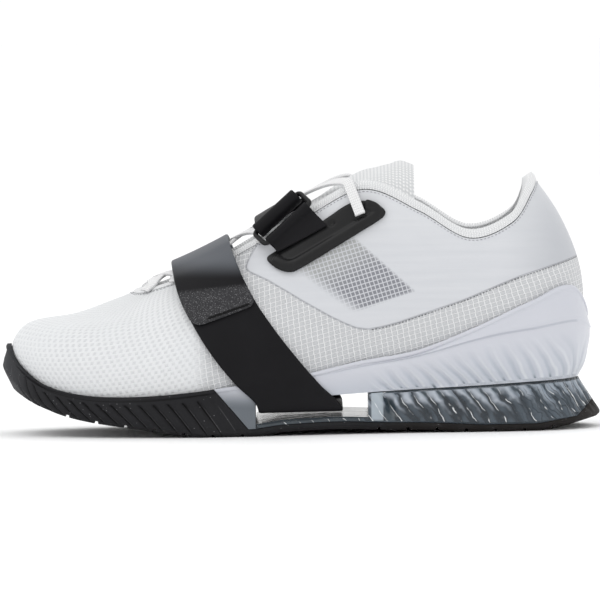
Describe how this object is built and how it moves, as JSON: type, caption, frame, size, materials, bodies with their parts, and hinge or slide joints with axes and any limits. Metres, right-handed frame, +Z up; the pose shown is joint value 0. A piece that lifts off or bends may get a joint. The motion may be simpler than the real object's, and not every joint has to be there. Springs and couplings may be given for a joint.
{
  "type": "weightlifting shoe",
  "caption": "Left weightlifting shoe with raised clear heel wedge, black rubber forefoot, two straps, laced throat and padded collar.",
  "frame": {"origin": "on the floor, centre of the overall length and width", "axes": "-X towards the toe, +X towards the heel, -Y towards the lateral side, +Z up"},
  "size_m": [0.298, 0.1084, 0.1343],
  "materials": {
    "rubber": "matte black rubber",
    "clear_tpu": "clear smoky blue plastic",
    "grey_tpu": "satin light grey plastic",
    "mesh": "white ripstop mesh with a smooth film quarter",
    "knit": "white knit",
    "foam": "cloth-topped foam",
    "webbing": "smooth black coated strap",
    "hard_black": "satin black moulded plastic",
    "lace_white": "flat white woven lace"
  },
  "bodies": {
    "root": {"outsole": "rubber", "heel_wedge": "clear_tpu", "chassis": "grey_tpu", "upper": "mesh", "collar_binding": "knit", "insole": "foam", "tongue": "knit", "midfoot_strap": "webbing", "midfoot_tab": "webbing", "eyestay_lateral": "hard_black", "eyestay_medial": "hard_black", "ankle_anchor": "webbing", "ankle_ring": "hard_black", "ankle_roll": "webbing", "ankle_strap": "webbing", "lace": "lace_white"}
  },
  "joints": []
}
